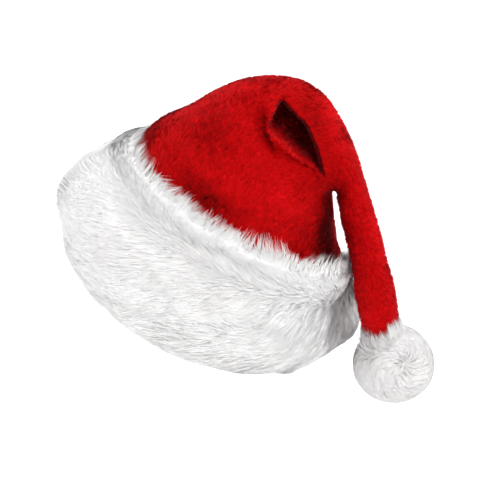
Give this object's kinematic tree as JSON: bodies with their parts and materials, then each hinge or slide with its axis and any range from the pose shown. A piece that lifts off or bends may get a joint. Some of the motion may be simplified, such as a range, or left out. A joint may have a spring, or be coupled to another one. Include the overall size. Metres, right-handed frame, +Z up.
{
  "type": "santa hat",
  "caption": "Plush conical hat shaped as worn, with a deep fur cuff round the head opening and a folded, hanging tip that ends in a fur pompom.",
  "frame": {"origin": "centre of the head opening, in the plane of the cloth's rim", "axes": "+Z up as worn; the wearer faces -X and the tip hangs at +X; the hat is pushed back, so the opening's axis leans 28 degrees from +Z towards +X"},
  "size_m": [0.3022, 0.2494, 0.2593],
  "materials": {
    "red_plush": "short-pile red plush, matte with a soft sheen",
    "cuff_fur": "long-pile white fur, brushed round the cuff",
    "pompom_fur": "long-pile white fur, brushed into a swirl"
  },
  "bodies": {
    "root": {"crown": "red_plush", "fur_band": "cuff_fur", "pompom": "pompom_fur"}
  },
  "joints": []
}
